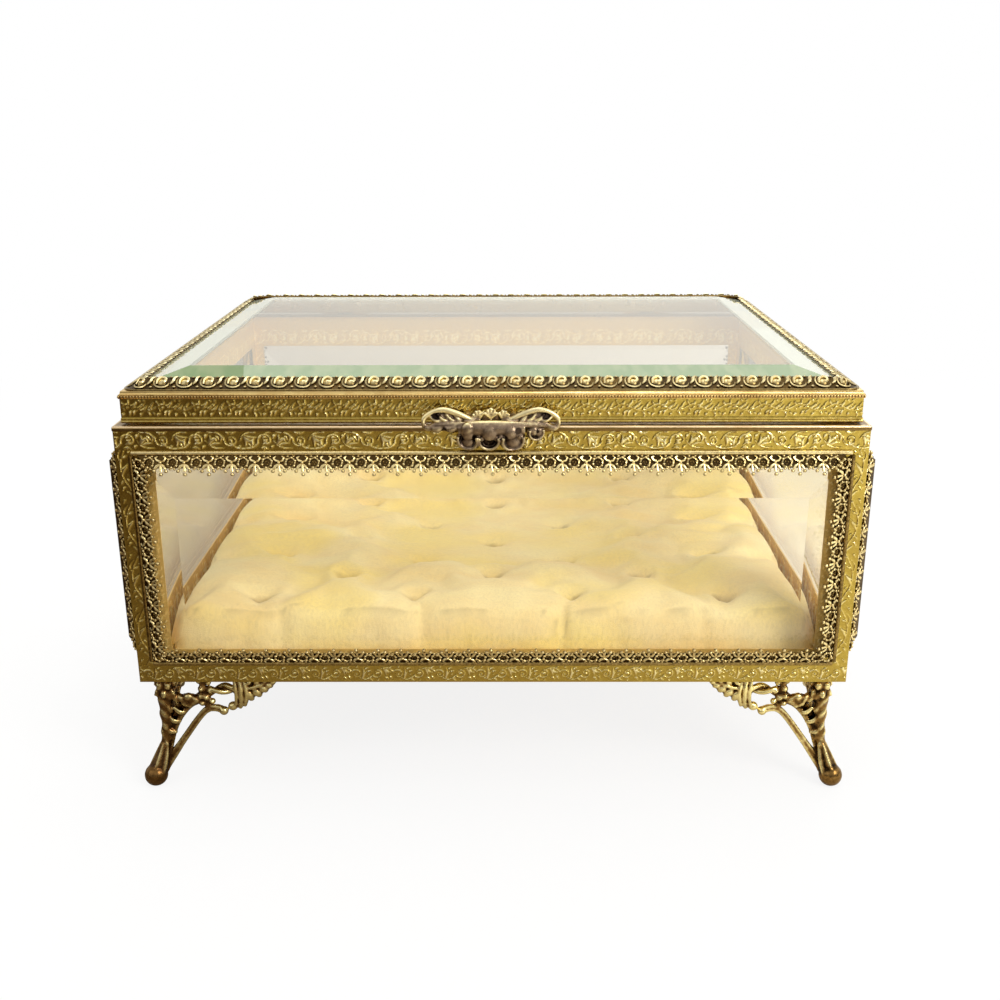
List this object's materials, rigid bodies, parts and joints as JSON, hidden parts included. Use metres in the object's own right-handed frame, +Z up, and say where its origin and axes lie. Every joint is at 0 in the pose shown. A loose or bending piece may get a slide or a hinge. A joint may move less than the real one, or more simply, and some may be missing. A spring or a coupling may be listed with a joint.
{
  "type": "glass casket box",
  "caption": "Footed jewellery casket with bevelled glass walls and lid in embossed gilt frames, lifted by a cast pull over a tufted cushion.",
  "frame": {"origin": "on the floor under the middle of the outer box", "axes": "+Z up, +X to the right along the width, the front with its pull faces -Y"},
  "size_m": [0.2096, 0.1746, 0.123],
  "materials": {
    "gilt_brass": "embossed gilt sheet brass, bright on the relief and brown in the ground",
    "liner_brass": "embossed gilt sheet brass behind glass, duller",
    "edging_brass": "stamped filigree edging, dark in its hollows and rubbed bright on its points",
    "cast_brass": "cast and gilt, brown in its hollows",
    "pull_metal": "cast, with the gilding worn to a grey brown",
    "wall_glass": "clear, polished, bevelled",
    "lid_glass": "clear, thick, faintly green at its bevels",
    "cushion_velvet": "cream yellow velvet, sewn down at tufts",
    "board": "plain backing board",
    "fixing_brass": "plain turned brass"
  },
  "bodies": {
    "base": {"front_frame": "gilt_brass", "back_frame": "gilt_brass", "left_frame": "gilt_brass", "right_frame": "gilt_brass", "front_glass": "wall_glass", "back_glass": "wall_glass", "left_glass": "wall_glass", "right_glass": "wall_glass", "front_liner": "liner_brass", "back_liner": "liner_brass", "left_liner": "liner_brass", "right_liner": "liner_brass", "front_top_edging": "edging_brass", "front_bottom_edging": "edging_brass", "front_left_edging": "edging_brass", "front_right_edging": "edging_brass", "back_top_edging": "edging_brass", "back_bottom_edging": "edging_brass", "back_left_edging": "edging_brass", "back_right_edging": "edging_brass", "left_top_edging": "edging_brass", "left_bottom_edging": "edging_brass", "left_front_edging": "edging_brass", "left_back_edging": "edging_brass", "right_top_edging": "edging_brass", "right_bottom_edging": "edging_brass", "right_front_edging": "edging_brass", "right_back_edging": "edging_brass", "base_rim": "gilt_brass", "bottom_plate": "gilt_brass", "cushion_board": "board", "cushion": "cushion_velvet", "front_left_foot": "cast_brass", "front_right_foot": "cast_brass", "rear_left_foot": "cast_brass", "rear_right_foot": "cast_brass", "foot_screws": "fixing_brass", "foot_nuts": "fixing_brass", "left_base_hinge_leaf": "gilt_brass", "right_base_hinge_leaf": "gilt_brass", "left_hinge_pin": "fixing_brass", "right_hinge_pin": "fixing_brass", "base_hinge_rivets": "fixing_brass"},
    "lid": {"lid_band": "gilt_brass", "lid_moulding": "gilt_brass", "lid_glass": "lid_glass", "lid_glass_stop": "liner_brass", "lid_front_gallery": "edging_brass", "lid_back_gallery": "edging_brass", "lid_left_gallery": "edging_brass", "lid_right_gallery": "edging_brass", "lid_pull": "pull_metal", "lid_pull_screws": "fixing_brass", "left_lid_hinge_leaf": "gilt_brass", "right_lid_hinge_leaf": "gilt_brass", "lid_hinge_rivets": "fixing_brass"}
  },
  "joints": [
    {"name": "lid_hinge", "type": "hinge", "parent": "base", "child": "lid", "pos_m": [0, 0.0853, 0.11017], "axis": [-1, 0, 0], "range_deg": [0, 100]}
  ]
}
